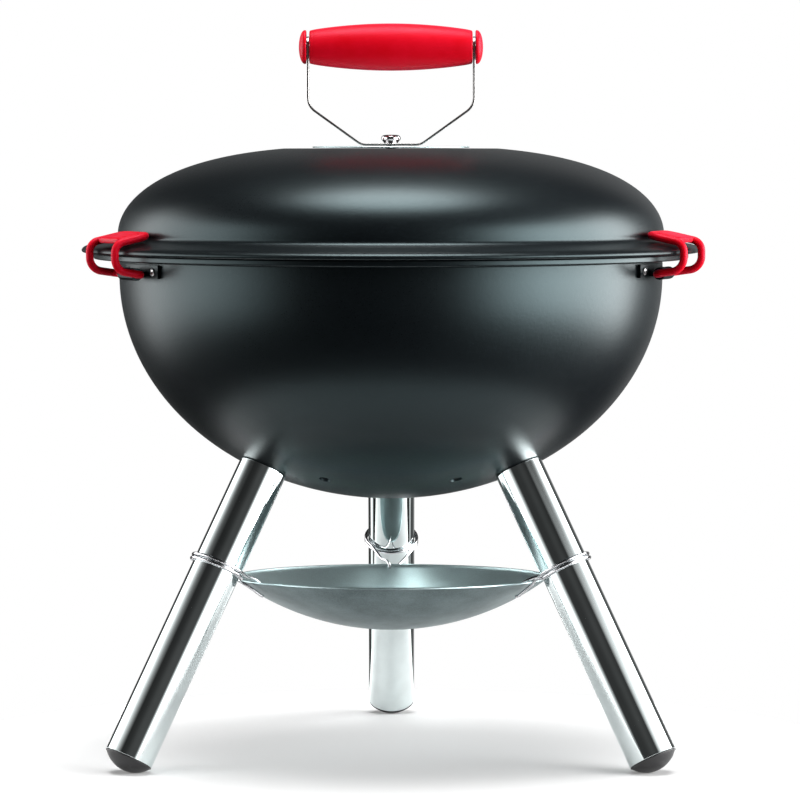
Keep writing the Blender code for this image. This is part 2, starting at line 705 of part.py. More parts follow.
def grate(name, ring_r, height, pitch, bar_y):
    """A round grate: an outer ring, parallel rods across it and two bars under them."""
    turns = [math.tau * k / SEGMENTS for k in range(SEGMENTS)]
    circle = [(ring_r * math.cos(a), ring_r * math.sin(a), 0) for a in turns]
    ring = tube(name, circle, GRATE_RING_R, 6, closed=True)
    item = place(name, ring, steel(), Matrix.Translation((0, 0, height)))
    rods = bmesh.new()
    count = int(ring_r / pitch)
    for k in range(-count, count + 1):
        reach = math.sqrt(ring_r ** 2 - (k * pitch) ** 2)
        add_rod(rods, (k * pitch, -reach, 0.8 * MM), (k * pitch, reach, 0.8 * MM))
    across = bmesh.new()
    for y in (-bar_y, bar_y):
        reach = math.sqrt(ring_r ** 2 - y ** 2)
        add_rod(across, (-reach, y, -0.4 * MM), (reach, y, -0.4 * MM))
    for part, shape in (("rods", rods), ("bars", across)):
        helper = place(f"{name}_{part}", as_mesh(f"{name}_{part}", shape), steel(),
                       Matrix.Translation((0, 0, height)))
        combine(item, helper, "UNION")


def add_rod(shape, start, end):
    """Add one square rod to a bmesh."""
    mesh = rod_mesh("rod", GRATE_ROD_R, start, end, 4)
    shape.from_mesh(mesh)
    bpy.data.meshes.remove(mesh)


def grate_bracket(side, azimuth):
    """An angle bracket on the bowl's wall that carries the cooking grate."""
    top = COOK_Z - GRATE_RING_R - GAP
    outer = 175.7 * MM
    outline = [(160 * MM, top - 2 * MM), (outer - 2 * MM, top - 2 * MM),
               (outer - 2 * MM, top - 13 * MM), (outer, top - 13 * MM), (outer, top),
               (160 * MM, top)]
    name = f"grate_bracket_{side}"
    place(name, prism(name, outline, 16 * MM), steel(), at_azimuth(azimuth), sharp=20)


# ------------------------------------------------------------------ the whole grill

def build():
    clear_scene()
    bowl_shell()
    lid_shell()
    axis = turning_frame()
    turning = [vent_disc(), handle_band(), grip_barrel(), grip_rod()]
    turning += [grip_cap("left", -1), grip_cap("right", 1)]
    hang_on(axis, *turning)
    lid_bolt()
    clearance = bowl_clearance()
    floor = floor_block()
    for side, azimuth in LEG_AZIMUTHS.items():
        leg(side, azimuth, clearance, floor)
        dish_clip(side, azimuth)
    ash_dish()
    for side, azimuth in CLIP_AZIMUTHS.items():
        clip_bracket(side, azimuth)
        clip_loop(side, azimuth)
        clip_pad(side, azimuth)
        clip_rivets(side, azimuth)
    grate("cooking_grate", COOK_R, COOK_Z, 21 * MM, 75 * MM)
    grate("charcoal_grate", COAL_R, COAL_Z, 27 * MM, 55 * MM)
    for side, azimuth in BRACKET_AZIMUTHS.items():
        grate_bracket(side, azimuth)


build()
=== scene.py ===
"""The looks of a portable charcoal kettle grill: fine surfaces, finishes, light and camera.

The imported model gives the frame: where each node is and which body it rides on. Every new piece
here is a surface worked out with numpy in the same frame, in metres, and stands for its CAD node.
"""
import logging
from dataclasses import dataclass, field
from enum import Enum
from typing import Optional, Sequence

import bpy
import numpy as np
from bpy.types import NodeSocket
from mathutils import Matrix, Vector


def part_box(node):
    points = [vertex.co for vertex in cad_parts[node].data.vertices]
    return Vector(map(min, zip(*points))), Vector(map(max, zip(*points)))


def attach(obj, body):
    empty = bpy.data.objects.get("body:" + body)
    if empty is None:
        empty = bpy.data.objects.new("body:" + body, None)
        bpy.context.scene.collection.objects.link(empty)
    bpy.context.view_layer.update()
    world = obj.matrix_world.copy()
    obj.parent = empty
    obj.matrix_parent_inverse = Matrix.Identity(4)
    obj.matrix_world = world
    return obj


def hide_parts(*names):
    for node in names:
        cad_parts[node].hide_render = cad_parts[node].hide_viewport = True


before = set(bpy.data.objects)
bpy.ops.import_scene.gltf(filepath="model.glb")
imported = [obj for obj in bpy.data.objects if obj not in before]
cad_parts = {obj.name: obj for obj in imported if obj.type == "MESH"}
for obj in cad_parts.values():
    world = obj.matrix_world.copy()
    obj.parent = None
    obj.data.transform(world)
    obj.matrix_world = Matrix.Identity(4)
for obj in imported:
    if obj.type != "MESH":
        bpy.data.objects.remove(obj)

logging.basicConfig(level=logging.INFO, format="%(message)s")
LOG = logging.getLogger("kettle_grill")

MM = 0.001
GAP = 0.3 * MM                    # free space between two pieces that touch
TAU = 2 * np.pi
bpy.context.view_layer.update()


class Side(Enum):
    """The three legs, by azimuth in degrees from +X."""

    LEFT = 210.0
    RIGHT = 330.0
    BACK = 90.0


class ClipSide(Enum):
    """The two rim clips, by azimuth in degrees from +X."""

    LEFT = 207.3
    RIGHT = 339.8


# ---------------------------------------------------------------------------- surfaces

@dataclass
class Surface:
    """A closed surface as arrays: points, quads, triangles and a UV pair for each corner."""

    points: np.ndarray
    quads: np.ndarray
    tris: np.ndarray
    quad_uv: np.ndarray
    tri_uv: np.ndarray

    def volume(self) -> float:
        """Signed volume, from the tetrahedra that each triangle makes with the origin."""
        halves = np.concatenate([self.quads[:, [0, 1, 2]], self.quads[:, [0, 2, 3]], self.tris])
        a, b, c = (self.points[halves[:, k]] for k in range(3))
        return float(np.einsum("ij,ij->i", a, np.cross(b, c)).sum() / 6)

    def facing_out(self) -> "Surface":
        """The same surface with its corners reversed if it was inside out."""
        if self.volume() >= 0:
            return self
        return Surface(self.points, self.quads[:, ::-1], self.tris[:, ::-1],
                       self.quad_uv[:, ::-1], self.tri_uv[:, ::-1])

    def moved(self, matrix: np.ndarray) -> "Surface":
        """The surface with its points carried by a 4 by 4 matrix."""
        points = self.points @ matrix[:3, :3].T + matrix[:3, 3]
        return Surface(points, self.quads, self.tris, self.quad_uv, self.tri_uv)

    def to_object(self, name: str, sharp: float = 40.0) -> bpy.types.Object:
        """Put the arrays into a mesh object at the origin.

        Args:
            name: The piece's name.
            sharp: Edges that bend by more than this many degrees stay crisp.

        Returns:
            The new object, smooth shaded and linked to the scene.
        """
        out = self.facing_out()
        mesh = bpy.data.meshes.new(name)
        corners = np.concatenate([out.quads.ravel(), out.tris.ravel()]).astype(np.int32)
        totals = np.repeat([4, 3], [len(out.quads), len(out.tris)]).astype(np.int32)
        starts = np.concatenate([[0], np.cumsum(totals)[:-1]]).astype(np.int32)
        mesh.vertices.add(len(out.points))
        mesh.vertices.foreach_set("co", out.points.astype(np.float32).ravel())
        mesh.loops.add(len(corners))
        mesh.loops.foreach_set("vertex_index", corners)
        mesh.polygons.add(len(totals))
        mesh.polygons.foreach_set("loop_start", starts)
        mesh.polygons.foreach_set("loop_total", totals)
        mesh.update(calc_edges=True)
        uv = mesh.uv_layers.new(name="UVMap")
        flat = np.concatenate([out.quad_uv.reshape(-1, 2), out.tri_uv.reshape(-1, 2)])
        uv.data.foreach_set("uv", flat.astype(np.float32).ravel())
        mesh.shade_smooth()
        mesh.set_sharp_from_angle(angle=np.radians(sharp))
        item = bpy.data.objects.new(name, mesh)
        bpy.context.scene.collection.objects.link(item)
        return item


def joined(surfaces: Sequence[Surface]) -> Surface:
    """Several surfaces as one, each turned to face outward first."""
    turned_out = [s.facing_out() for s in surfaces]
    starts = np.cumsum([0] + [len(s.points) for s in turned_out[:-1]])
    return Surface(np.concatenate([s.points for s in turned_out]),
                   np.concatenate([s.quads + n for s, n in zip(turned_out, starts)]),
                   np.concatenate([s.tris + n for s, n in zip(turned_out, starts)]),
                   np.concatenate([s.quad_uv for s in turned_out]),
                   np.concatenate([s.tri_uv for s in turned_out]))


def woven(grid: np.ndarray, wrap_rows: bool, wrap_columns: bool = True,
          caps: Optional[tuple] = None) -> Surface:
    """Weave a grid of points into quads, and close its first and last rows with fans.

    Args:
        grid: Points of shape (rows, columns, 3).
        wrap_rows: True where the last row joins the first.
        wrap_columns: True where the last column joins the first.
        caps: Two points that the first and last rows close onto, or None.

    Returns:
        The surface, with u running once round the columns and v once along the rows.
    """
    rows, columns = grid.shape[:2]
    i = np.arange(rows if wrap_rows else rows - 1)[:, None]
    j = np.arange(columns if wrap_columns else columns - 1)[None, :]

    def corner(di: int, dj: int) -> np.ndarray:
        """The point index at one corner of every quad."""
        return (((i + di) % rows) * columns + (j + dj) % columns).ravel()

    def corner_uv(di: int, dj: int) -> np.ndarray:
        """The UV pair at one corner of every quad."""
        u, v = np.broadcast_arrays((j + dj) / columns, (i + di) / max(rows - 1, 1))
        return np.stack([u.ravel(), v.ravel()], axis=1)

    order = ((0, 0), (0, 1), (1, 1), (1, 0))
    quads = np.stack([corner(*o) for o in order], axis=1)
    quad_uv = np.stack([corner_uv(*o) for o in order], axis=1)
    points = grid.reshape(-1, 3)
    tris = np.zeros((0, 3), int)
    if caps is not None:
        ring = np.arange(columns)
        after = (ring + 1) % columns
        first = np.stack([np.full(columns, len(points)), after, ring], axis=1)
        base = (rows - 1) * columns
        last = np.stack([np.full(columns, len(points) + 1), base + ring, base + after], axis=1)
        tris = np.concatenate([first, last])
        points = np.concatenate([points, np.array(caps)])
    return Surface(points, quads, tris, quad_uv, np.zeros((len(tris), 3, 2)))


def turned(profile: np.ndarray, segments: int, closed: bool = False) -> Surface:
    """Turn a profile about Z: each point (r, z) becomes the circle (r cos a, r sin a, z).

    Args:
        profile: Points (r, z). An open profile begins and ends on the axis.
        segments: Steps round the circle.
        closed: True for a ring whose last point joins its first.

    Returns:
        The surface of revolution.
    """
    a = np.arange(segments) * TAU / segments
    body = profile if closed else profile[1:-1]
    r, z = body[:, :1], body[:, 1:]
    grid = np.stack([r * np.cos(a), r * np.sin(a), z + 0 * a], axis=2)
    poles = None if closed else ((0, 0, profile[0, 1]), (0, 0, profile[-1, 1]))
    return woven(grid, wrap_rows=closed, caps=poles)


def lofted(path: np.ndarray, section: np.ndarray, guide: np.ndarray, closed: bool = False,
           scale: Optional[np.ndarray] = None) -> Surface:
    """Carry a section along a path: point + x * normal + y * binormal.

    The normal is the guide direction with its part along the path taken away, and the binormal
    is square to the path and the normal.

    Args:
        path: Points (n, 3).
        section: Section points (m, 2) as (normal, binormal).
        guide: One direction, or one for each path point.
        closed: True for a loop.
        scale: Factors (n, 2) on the section's two coordinates.

    Returns:
        The swept surface, closed with a fan at each end where the path is open.
    """
    if closed:
        ahead = np.roll(path, -1, axis=0) - np.roll(path, 1, axis=0)
    else:
        ahead = np.gradient(path, axis=0)
    ahead = ahead / np.linalg.norm(ahead, axis=1, keepdims=True)
    guide = np.broadcast_to(guide, path.shape)
    normal = guide - ahead * np.einsum("ij,ij->i", guide, ahead)[:, None]
    normal = normal / np.linalg.norm(normal, axis=1, keepdims=True)
    across = np.cross(ahead, normal)
    factors = np.ones((len(path), 2)) if scale is None else scale
    x = section[None, :, 0] * factors[:, :1]
    y = section[None, :, 1] * factors[:, 1:]
    grid = path[:, None] + x[..., None] * normal[:, None] + y[..., None] * across[:, None]
    caps = None if closed else (path[0], path[-1])
    return woven(grid, wrap_rows=closed, caps=caps)


def circle(radius: float, sides: int) -> np.ndarray:
    """Section points on a circle: (radius cos a, radius sin a)."""
    a = np.arange(sides) * TAU / sides
    return radius * np.stack([np.cos(a), np.sin(a)], axis=1)


def box_section(half_x: float, half_y: float, corner: float, steps: int = 4) -> np.ndarray:
    """A rectangle with round corners: a quarter circle at each corner, in order."""
    a = (np.arange(4)[:, None] + np.linspace(0, 1, steps)[None, :]) * TAU / 4
    cx = np.array([1, -1, -1, 1])[:, None] * (half_x - corner)
    cy = np.array([1, 1, -1, -1])[:, None] * (half_y - corner)
    return np.stack([cx + corner * np.cos(a), cy + corner * np.sin(a)], axis=2).reshape(-1, 2)


def bend(start: Sequence[float], corner: Sequence[float], end: Sequence[float],
         steps: int = 8) -> np.ndarray:
    """A quadratic curve: (1-t)^2 start + 2t(1-t) corner + t^2 end."""
    t = np.linspace(0, 1, steps)[:, None]
    return (1 - t) ** 2 * np.array(start) + 2 * t * (1 - t) * np.array(corner) + t ** 2 * np.array(end)


def arc(centre: Sequence[float], radius: float, start: float, end: float,
        steps: int = 9) -> np.ndarray:
    """Points on a circle's arc between two angles in degrees."""
    a = np.radians(np.linspace(start, end, steps))
    return np.array(centre) + radius * np.stack([np.cos(a), np.sin(a)], axis=1)


def rounded_corners(corners: np.ndarray, radii: np.ndarray, steps: int) -> np.ndarray:
    """A closed loop whose corners are arcs, by turning the start spoke into the end spoke.

    Args:
        corners: Corner points (n, 3).
        radii: Radius at each corner.
        steps: Points on each arc.

    Returns:
        The loop's points (n * steps, 3).
    """
    back = np.roll(corners, 1, axis=0) - corners
    ahead = np.roll(corners, -1, axis=0) - corners
    back /= np.linalg.norm(back, axis=1, keepdims=True)
    ahead /= np.linalg.norm(ahead, axis=1, keepdims=True)
    half = np.arccos(np.einsum("ij,ij->i", back, ahead))[:, None] / 2
    middle = (back + ahead) / np.linalg.norm(back + ahead, axis=1, keepdims=True)
    r = radii[:, None]
    centre = corners + middle * r / np.sin(half)
    start = corners + back * r / np.tan(half) - centre
    end = corners + ahead * r / np.tan(half) - centre
    sweep = (np.pi - 2 * half)[:, None]
    s = np.linspace(0, 1, steps)[None, :, None]
    turn = (np.sin(sweep * (1 - s)) * start[:, None] + np.sin(sweep * s) * end[:, None])
    return (centre[:, None] + turn / np.sin(sweep)).reshape(-1, 3)


def through(knots: np.ndarray, steps: int) -> np.ndarray:
    """A Catmull-Rom curve through the knots, as one cubic for each span."""
    padded = np.concatenate([2 * knots[:1] - knots[1:2], knots, 2 * knots[-1:] - knots[-2:-1]])
    a, b, c, d = (padded[k:len(padded) - 3 + k, None] for k in range(4))
    s = np.linspace(0, 1, steps, endpoint=False)[None, :, None]
    curve = 0.5 * (2 * b + (c - a) * s + (2 * a - 5 * b + 4 * c - d) * s ** 2
                   + (3 * b - a - 3 * c + d) * s ** 3)
    return np.concatenate([curve.reshape(-1, 3), knots[-1:]])


def around(degrees: float) -> np.ndarray:
    """The 4 by 4 matrix that turns +X to an azimuth about Z."""
    a = np.radians(degrees)
    out = np.eye(4)
    out[:2, :2] = [[np.cos(a), -np.sin(a)], [np.sin(a), np.cos(a)]]
    return out


def shifted(x: float, y: float, z: float) -> np.ndarray:
    """The 4 by 4 matrix of a move."""
    out = np.eye(4)
    out[:3, 3] = (x, y, z)
    return out


def leaned(degrees: float) -> np.ndarray:
    """The 4 by 4 matrix that turns about Y; a positive angle leans +Z towards +X."""
    a = np.radians(degrees)
    out = np.eye(4)
    out[0, [0, 2]] = np.cos(a), np.sin(a)
    out[2, [0, 2]] = -np.sin(a), np.cos(a)
    return out


def pierced(item: bpy.types.Object, cutters: Sequence[bpy.types.Object]) -> None:
    """Cut holes in a piece with closed cutters, then remove the cutters.

    Args:
        item: The piece to cut.
        cutters: Closed solids to take away from it.
    """
    for cutter in cutters:
        step = item.modifiers.new("hole", "BOOLEAN")
        step.operation = "DIFFERENCE"
        step.solver = "EXACT"
        step.object = cutter
    graph = bpy.context.evaluated_depsgraph_get()
    cut = bpy.data.meshes.new_from_object(item.evaluated_get(graph), depsgraph=graph)
    item.modifiers.clear()
    item.data = cut
    cut.set_sharp_from_angle(angle=np.radians(35))
    for cutter in cutters:
        bpy.data.objects.remove(cutter, do_unlink=True)


# ---------------------------------------------------------------------------- finishes

class Nodes:
    """A short way to write arithmetic in a node tree."""

    def __init__(self, tree: bpy.types.NodeTree) -> None:
        """Work in an existing node tree."""
        self.nodes = tree.nodes
        self.links = tree.links
        self.where = self.nodes.new("ShaderNodeTexCoord")

    def ramp(self, value: NodeSocket, low: float, high: float, to_low: float,
             to_high: float, smooth: bool = False) -> NodeSocket:
        """A value carried from one range to another and held at its ends."""
        node = self.nodes.new("ShaderNodeMapRange")
        node.interpolation_type = "SMOOTHSTEP" if smooth else "LINEAR"
        for socket, number in zip(list(node.inputs)[1:5], (low, high, to_low, to_high)):
            socket.default_value = number
        self.links.new(value, node.inputs["Value"])
        return node.outputs["Result"]

    def math(self, operation: str, first: object, second: object = None) -> NodeSocket:
        """One arithmetic step on sockets or numbers."""
        node = self.nodes.new("ShaderNodeMath")
        node.operation = operation
        for socket, value in zip(node.inputs, (first, second)):
            if isinstance(value, (int, float)):
                socket.default_value = value
            elif value is not None:
                self.links.new(value, socket)
        return node.outputs["Value"]

    def split(self, vector: NodeSocket) -> Sequence[NodeSocket]:
        """The X, Y and Z of a vector."""
        node = self.nodes.new("ShaderNodeSeparateXYZ")
        self.links.new(vector, node.inputs[0])
        return node.outputs


class Tree(Nodes):
    """A material with one Principled shader."""

    def __init__(self, name: str) -> None:
        """Start the material."""
        self.material = bpy.data.materials.new(name)
        self.material.use_nodes = True
        super().__init__(self.material.node_tree)
        self.shader = self.nodes["Principled BSDF"]

    def constant(self, **values: object) -> None:
        """Set sockets of the shader, with underscores for the spaces in their names."""
        for key, value in values.items():
            self.shader.inputs[key.replace("_", " ")].default_value = value

    def stretched(self, scale: Sequence[float], source: str = "Object") -> NodeSocket:
        """Coordinates multiplied along each axis."""
        node = self.nodes.new("ShaderNodeMapping")
        node.inputs["Scale"].default_value = scale
        self.links.new(self.where.outputs[source], node.inputs["Vector"])
        return node.outputs["Vector"]

    def noise(self, vector: NodeSocket, scale: float, detail: float = 2.0,
              roughness: float = 0.5) -> NodeSocket:
        """Noise between 0 and 1 at so many lumps to the metre."""
        node = self.nodes.new("ShaderNodeTexNoise")
        node.inputs["Scale"].default_value = scale
        node.inputs["Detail"].default_value = detail
        node.inputs["Roughness"].default_value = roughness
        self.links.new(vector, node.inputs["Vector"])
        return node.outputs["Fac"]

    def level(self, noise: NodeSocket, low: float, high: float) -> NodeSocket:
        """The middle of a noise, where most of it lies, carried to a range."""
        return self.ramp(noise, 0.3, 0.7, low, high)

    def blended(self, factor: NodeSocket, first: Sequence[float],
                second: Sequence[float]) -> NodeSocket:
        """A colour between two, by a factor."""
        node = self.nodes.new("ShaderNodeMix")
        node.data_type = "RGBA"
        node.inputs["A"].default_value = (*first, 1)
        node.inputs["B"].default_value = (*second, 1)
        self.links.new(factor, node.inputs["Factor"])
        return node.outputs[2]

    def radius(self) -> NodeSocket:
        """Distance from the Z axis, in metres."""
        x, y, _ = self.split(self.where.outputs["Object"])
        total = self.math("ADD", self.math("MULTIPLY", x, x), self.math("MULTIPLY", y, y))
        return self.math("SQRT", total)

    def bumped(self, height: NodeSocket, distance: float, strength: float = 1.0) -> None:
        """Raise the surface by a height, chained after any bump already there."""
        node = self.nodes.new("ShaderNodeBump")
        node.inputs["Distance"].default_value = distance
        node.inputs["Strength"].default_value = strength
        self.links.new(height, node.inputs["Height"])
        before = self.shader.inputs["Normal"].links
        if before:
            self.links.new(before[0].from_socket, node.inputs["Normal"])
        self.links.new(node.outputs["Normal"], self.shader.inputs["Normal"])

    def feed(self, socket: str, value: NodeSocket) -> None:
        """Link a value to one of the shader's sockets."""
        self.links.new(value, self.shader.inputs[socket])


@dataclass(frozen=True)
class Enamel:
    """Satin black baked enamel: orange peel, fine grit and paler flecks."""

    name: str = "black_enamel"
    deep: tuple = (0.0016, 0.002, 0.0028)
    fleck: tuple = (0.012, 0.018, 0.022)
    gleam: tuple = (0.68, 0.95, 1.0, 1.0)
    roughness: float = 0.33

    def material(self) -> bpy.types.Material:
        """Build the material."""
        tree = Tree(self.name)
        where = tree.where.outputs["Object"]
        grit = tree.noise(where, 1500, 2.0, 0.6)
        peel = tree.noise(where, 420, 2.0, 0.5)
        haze = tree.noise(where, 9, 3.0, 0.5)
        flecks = tree.ramp(grit, 0.62, 0.8, 0.0, 1.0)
        tree.feed("Base Color", tree.blended(flecks, self.deep, self.fleck))
        rough = tree.math("ADD", tree.level(grit, -0.05, 0.07),
                          tree.level(haze, self.roughness - 0.02, self.roughness + 0.02))
        tree.feed("Roughness", rough)
        tree.bumped(peel, 0.00006, 0.6)
        tree.bumped(grit, 0.00003, 0.5)
        tree.constant(Specular_IOR_Level=0.36, Specular_Tint=self.gleam)
        return tree.material


@dataclass(frozen=True)
class Metal:
    """A metal with drawn lines along the piece's own length and a faint unevenness."""

    name: str
    colour: tuple
    roughness: float
    line_scale: tuple = (220.0, 3.0, 1.0)
    line_depth: float = 0.03
    source: str = "UV"
    tint: tuple = (0.0, 0.0, 0.0)

    def material(self) -> bpy.types.Material:
        """Build the material."""
        tree = Tree(self.name)
        lines = tree.noise(tree.stretched(self.line_scale, self.source), 1.0, 3.0, 0.6)
        cloud = tree.noise(tree.where.outputs["Object"], 35, 3.0, 0.55)
        dull = tuple(c * 0.86 + t for c, t in zip(self.colour, self.tint))
        tree.feed("Base Color", tree.blended(tree.ramp(cloud, 0.35, 0.7, 0, 1), self.colour, dull))
        rough = tree.math("ADD", tree.level(lines, -self.line_depth, self.line_depth),
                          tree.level(cloud, self.roughness * 0.9, self.roughness * 1.15))
        tree.feed("Roughness", tree.math("MAXIMUM", rough, 0.02))
        tree.bumped(lines, 0.000004, 0.5)
        tree.constant(Metallic=1.0)
        return tree.material


@dataclass(frozen=True)
class SpunAluminium:
    """Matt aluminium with turning rings round Z and a fine blasted grain.

    The piece's own UV runs along its section, so the outside can be painted darker than the inside:
    painted shade for the outer skin, which faces down.
    """

    name: str = "matt_aluminium"
    inside: tuple = (0.6, 0.74, 0.75)
    # Painted shade: the outside is coloured much darker than the inside.
    outside: tuple = (0.06, 0.09, 0.098)
    split: float = 0.47
    roughness: float = 0.42

    def material(self) -> bpy.types.Material:
        """Build the material."""
        tree = Tree(self.name)
        ring = tree.nodes.new("ShaderNodeCombineXYZ")
        tree.links.new(tree.radius(), ring.inputs["X"])
        rings = tree.noise(ring.outputs[0], 900, 3.0, 0.6)
        grain = tree.noise(tree.where.outputs["Object"], 1100, 2.0, 0.65)
        cloud = tree.noise(tree.where.outputs["Object"], 26, 4.0, 0.65)
        along = tree.split(tree.where.outputs["UV"])[1]
        # Painted shade: along the section the outside is blended far darker than the inside, with
        # random cloud and grain on top.
        side = tree.ramp(along, self.split - 0.012, self.split + 0.012, 0, 1)
        spread = tree.level(cloud, -0.12, 0.12)
        speck = tree.level(grain, -0.1, 0.1)
        mixed = tree.math("ADD", side, tree.math("ADD", spread, speck))
        tree.feed("Base Color", tree.blended(tree.ramp(mixed, -0.3, 1.3, 0, 1),
                                             tuple(0.7 * c for c in self.outside),
                                             tuple(1.15 * c for c in self.inside)))
        rough = tree.math("ADD", tree.level(rings, -0.03, 0.04),
                          tree.level(grain, self.roughness - 0.04, self.roughness + 0.05))
        tree.feed("Roughness", rough)
        tree.bumped(grain, 0.00003, 0.5)
        tree.bumped(rings, 0.00002, 0.35)
        tree.constant(Metallic=1.0)
        return tree.material


@dataclass(frozen=True)
class Silicone:
    """Matt red silicone with a powdery grain and rub marks."""

    name: str = "red_silicone"
    colour: tuple = (0.52, 0.0006, 0.005)
    worn: tuple = (0.58, 0.0016, 0.011)
    bloom: tuple = (1.0, 0.3, 0.7, 1.0)
    roughness: float = 0.42

    def material(self) -> bpy.types.Material:
        """Build the material."""
        tree = Tree(self.name)
        where = tree.where.outputs["Object"]
        grain = tree.noise(where, 1900, 2.0, 0.6)
        rub = tree.noise(where, 60, 4.0, 0.6)
        tree.feed("Base Color", tree.blended(tree.ramp(rub, 0.35, 0.7, 0, 1), self.colour, self.worn))
        rough = tree.math("ADD", tree.level(rub, -0.04, 0.06),
                          tree.level(grain, self.roughness - 0.03, self.roughness + 0.03))
        tree.feed("Roughness", rough)
        tree.bumped(grain, 0.00003, 0.35)
        tree.constant(Sheen_Weight=0.08, Sheen_Roughness=0.45, Sheen_Tint=self.bloom,
                      Specular_IOR_Level=0.16, Specular_Tint=self.bloom)
        return tree.material


@dataclass(frozen=True)
class MouldedPlastic:
    """Black moulded plastic with a spark-eroded grain and grey scuffs."""

    name: str = "black_plastic"
    colour: tuple = (0.012, 0.012, 0.013)
    scuffed: tuple = (0.05, 0.05, 0.05)
    roughness: float = 0.4

    def material(self) -> bpy.types.Material:
        """Build the material."""
        tree = Tree(self.name)
        where = tree.where.outputs["Object"]
        grain = tree.noise(where, 1400, 2.0, 0.6)
        scuff = tree.noise(where, 140, 5.0, 0.7)
        tree.feed("Base Color", tree.blended(tree.ramp(scuff, 0.58, 0.78, 0, 1),
                                             self.colour, self.scuffed))
        tree.feed("Roughness", tree.level(grain, self.roughness - 0.05,
                                         self.roughness + 0.08))
        tree.bumped(grain, 0.00003, 0.4)
        return tree.material


class Finishes:
    """Every finish of the grill, each built once."""

    def __init__(self) -> None:
        """Build the materials."""
        self.enamel = Enamel().material()
        self.leg_chrome = Metal("leg_chrome", (0.8, 0.87, 0.87), 0.06, (160, 2, 1), 0.012).material()
        self.bolt_chrome = Metal("bolt_chrome", (0.8, 0.8, 0.82), 0.1, (60, 4, 1), 0.03).material()
        self.steel = Metal("bright_stainless", (0.62, 0.61, 0.6), 0.2, (8, 260, 1), 0.06).material()
        self.fastener = Metal("fastener_steel", (0.5, 0.5, 0.5), 0.3, (900, 900, 900), 0.05,
                              "Object").material()
        self.wire = Metal("spring_wire", (0.68, 0.68, 0.7), 0.16, (12, 30, 1), 0.05).material()
        self.grate = Metal("plated_wire", (0.6, 0.59, 0.57), 0.24, (20, 40, 1), 0.06,
                           tint=(-0.04, -0.06, -0.1)).material()
        # Painted shade: the dish's outside is painted dark, and the vent disc's underside only a
        # little darker.
        self.aluminium = SpunAluminium().material()
        self.vent = SpunAluminium("vent_aluminium", outside=(0.5, 0.58, 0.6)).material()
        self.silicone = Silicone().material()
        self.plastic = MouldedPlastic().material()


def fit(item: bpy.types.Object, material: bpy.types.Material, slot: str, body: str,
        *stands_for: str) -> bpy.types.Object:
    """Dress a new piece and put it on its body in place of its CAD nodes.

    Args:
        item: The piece.
        material: Its finish.
        slot: The record's material slot; not used.
        body: The body that it rides on.
        stands_for: The CAD nodes that it replaces.

    Returns:
        The piece.
    """
    item.data.materials.clear()
    item.data.materials.append(material)
    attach(item, body)
    if stands_for:
        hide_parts(*stands_for)
    LOG.info("%s: %d faces on %s", item.name, len(item.data.polygons), body)
    return item


def redress(node: str, material: bpy.types.Material) -> None:
    """Give a CAD node, which keeps its shape, a finish of its own."""
    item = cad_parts[node]
    item.data.materials.clear()
    item.data.materials.append(material)


# ---------------------------------------------------------------------------- kettle

@dataclass
class Bowl:
    """The enamelled bowl: half an ellipse under a short wall, with a rolled rim."""

    finishes: Finishes
    radius: float = 180 * MM
    depth: float = 148 * MM
    wall_z: float = 318 * MM
    sheet: float = 1.5 * MM
    rim_r: float = 197 * MM
    rim_low: float = 329.4 * MM
    rim_top: float = 333.3 * MM
    hole_circle: float = 85 * MM
    hole_r: float = 4 * MM
    holes: int = 6
    segments: int = 288

    def ellipse(self, offset: float, steps: int = 90) -> np.ndarray:
        """Points r = (a + offset) sin p, z = wall_z - (b + offset) cos p, p from 0 to 90."""
        p = np.linspace(0, np.pi / 2, steps)
        return np.stack([(self.radius + offset) * np.sin(p),
                         self.wall_z - (self.depth + offset) * np.cos(p)], axis=1)

    def profile(self) -> np.ndarray:
        """The whole section, from the outside's lowest point round the rim to the inside's."""
        r, inner = self.radius, self.radius - self.sheet
        under = arc((r + 1.5 * MM, self.rim_low - 1.5 * MM), 1.5 * MM, 180, 90)
        soft = 0.9 * MM
        edge = np.concatenate([
            arc((self.rim_r - soft, self.rim_low + soft), soft, -90, 0, 7),
            arc((self.rim_r - soft, self.rim_top - soft), soft, 0, 90, 7)])
        lip = arc((inner + 3 * MM, self.rim_top - 3 * MM), 3 * MM, 90, 180)
        return np.concatenate([self.ellipse(0), under, edge, lip, self.ellipse(-self.sheet)[::-1]])

    def build(self) -> None:
        """Turn the bowl, pierce its draught holes and dress it."""
        bowl = turned(self.profile(), self.segments).to_object("kettle_bowl")
        drill = np.array([(0, 0.165), (self.hole_r, 0.165), (self.hole_r, 0.21), (0, 0.21)])
        cutters = [turned(drill, 32).moved(around(360 * k / self.holes)
                                           @ shifted(self.hole_circle, 0, 0))
                   .to_object(f"draught_cutter_{k}") for k in range(self.holes)]
        pierced(bowl, cutters)
        fit(bowl, self.finishes.enamel, "black_enamel", "base", "bowl_shell")


